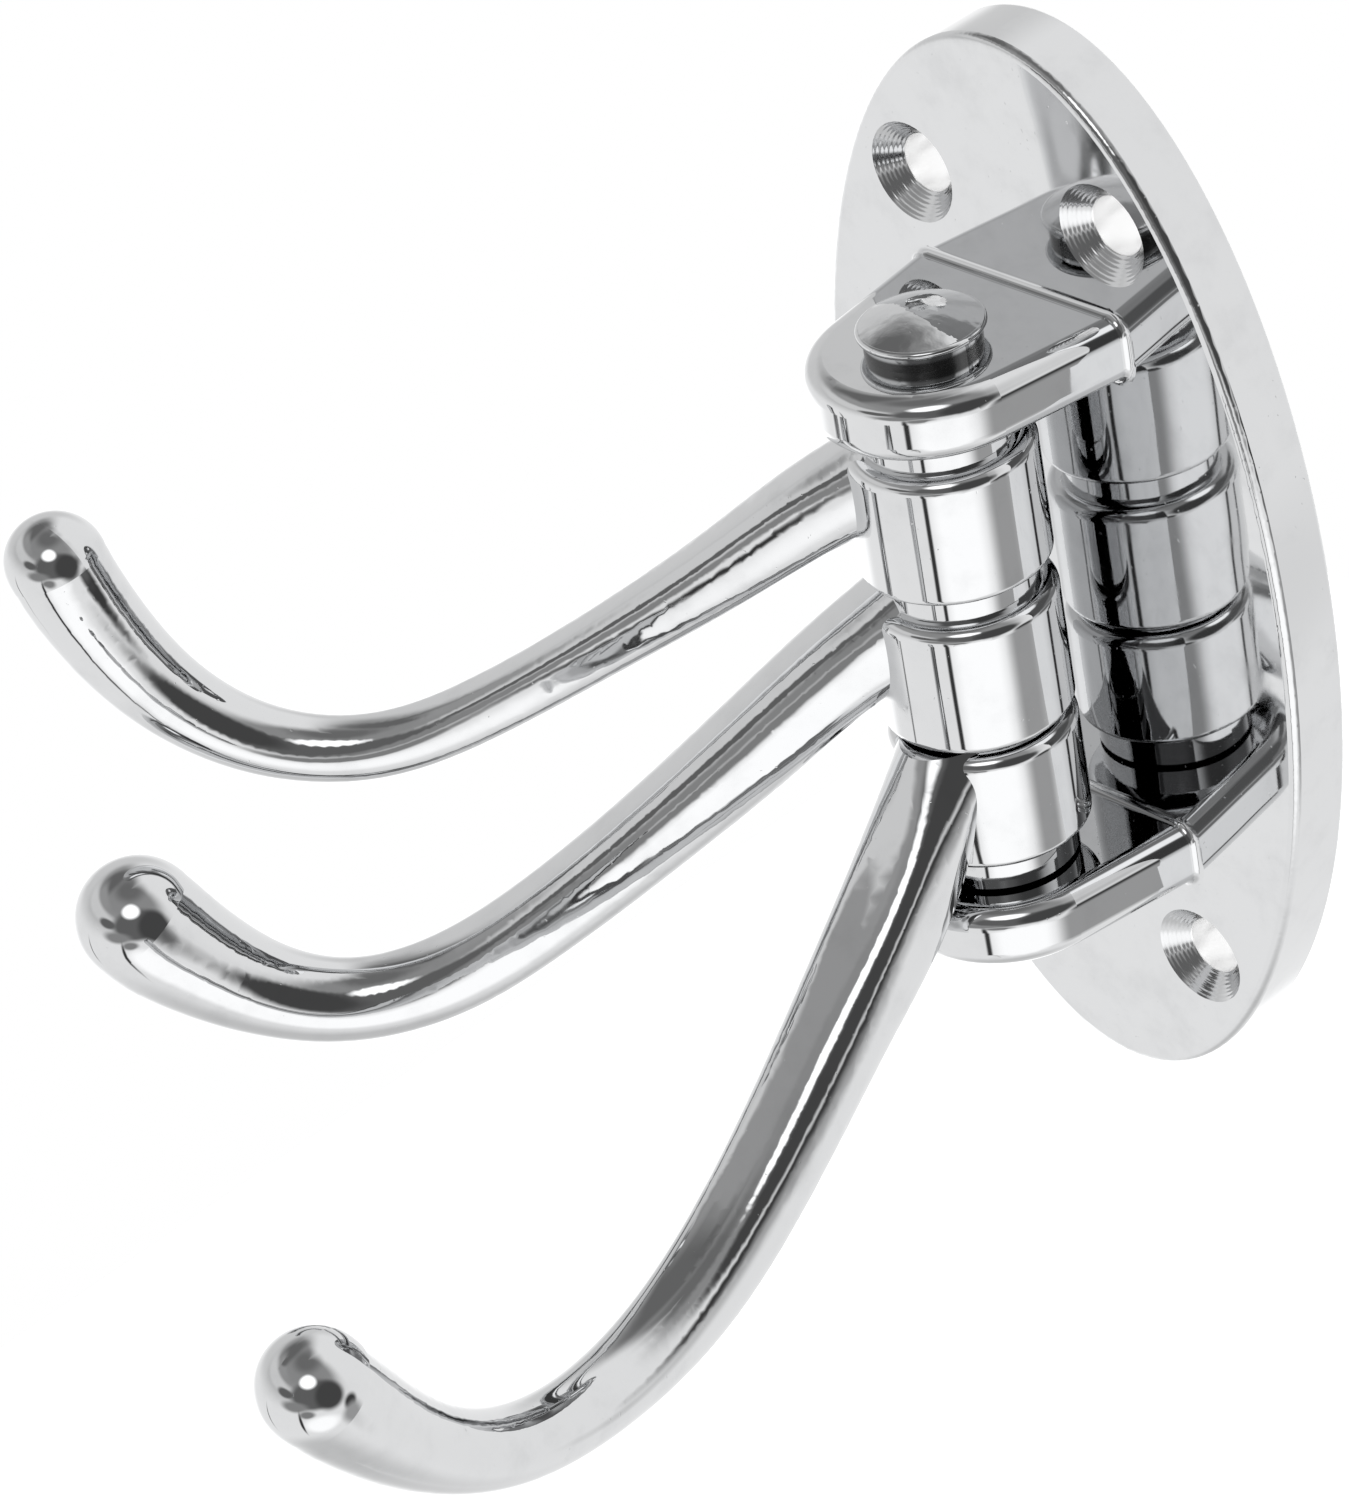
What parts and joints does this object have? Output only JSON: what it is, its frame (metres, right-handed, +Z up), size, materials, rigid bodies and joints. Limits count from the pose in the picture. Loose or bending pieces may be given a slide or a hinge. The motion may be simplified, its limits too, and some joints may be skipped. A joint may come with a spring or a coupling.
{
  "type": "swing arm coat hook",
  "caption": "Wall-mounted coat hook: an oval plate with ears holds a pin on which polished hook arms swing side to side, each ending in a ball tip.",
  "frame": {"origin": "centre of the wall plate's back face, on the wall", "axes": "+Y into the wall, so the hooks stand out toward -Y; +Z up along the pin; +X to the right as seen from the room"},
  "size_m": [0.0679, 0.0848, 0.08],
  "materials": {
    "chrome": "polished"
  },
  "bodies": {
    "base": {"wall_plate": "chrome", "pivot_pin": "chrome"},
    "upper_arm": {"hook_upper": "chrome"},
    "middle_arm": {"hook_middle": "chrome"},
    "lower_arm": {"hook_lower": "chrome"}
  },
  "joints": [
    {"name": "upper_swing", "type": "hinge", "parent": "base", "child": "upper_arm", "pos_m": [0, -0.01365, 0.0104], "axis": [0, 0, 1], "range_deg": [-47, 143]},
    {"name": "middle_swing", "type": "hinge", "parent": "base", "child": "middle_arm", "pos_m": [0, -0.01365, -0.001], "axis": [0, 0, 1], "range_deg": [-55, 135]},
    {"name": "lower_swing", "type": "hinge", "parent": "base", "child": "lower_arm", "pos_m": [0, -0.01365, -0.01065], "axis": [0, 0, 1], "range_deg": [-100, 90]}
  ]
}
